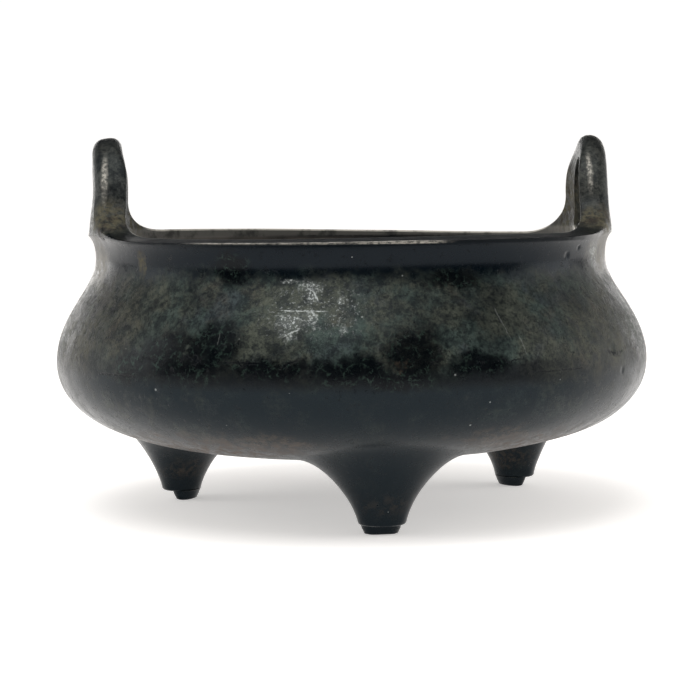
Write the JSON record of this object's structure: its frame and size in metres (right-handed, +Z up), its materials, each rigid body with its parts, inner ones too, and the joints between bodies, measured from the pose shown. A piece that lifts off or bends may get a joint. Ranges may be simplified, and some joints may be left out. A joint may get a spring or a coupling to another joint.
{
  "type": "incense burner",
  "caption": "Round bronze censer with a wide mouth, an upright loop handle at each side of the rim and short flared feet under a low belly.",
  "frame": {"origin": "centre of the bounding box's underside, on the vessel's axis and level with the floor under the feet", "axes": "+Z up along the turned body's axis, the loop handles stand on the X axis, -Y is the pictured front"},
  "size_m": [0.2074, 0.2074, 0.1311],
  "materials": {
    "censer": "cast bronze, smoothed and darkly patinated to a near-black green-brown satin"
  },
  "bodies": {
    "root": {"censer": "censer"}
  },
  "joints": []
}
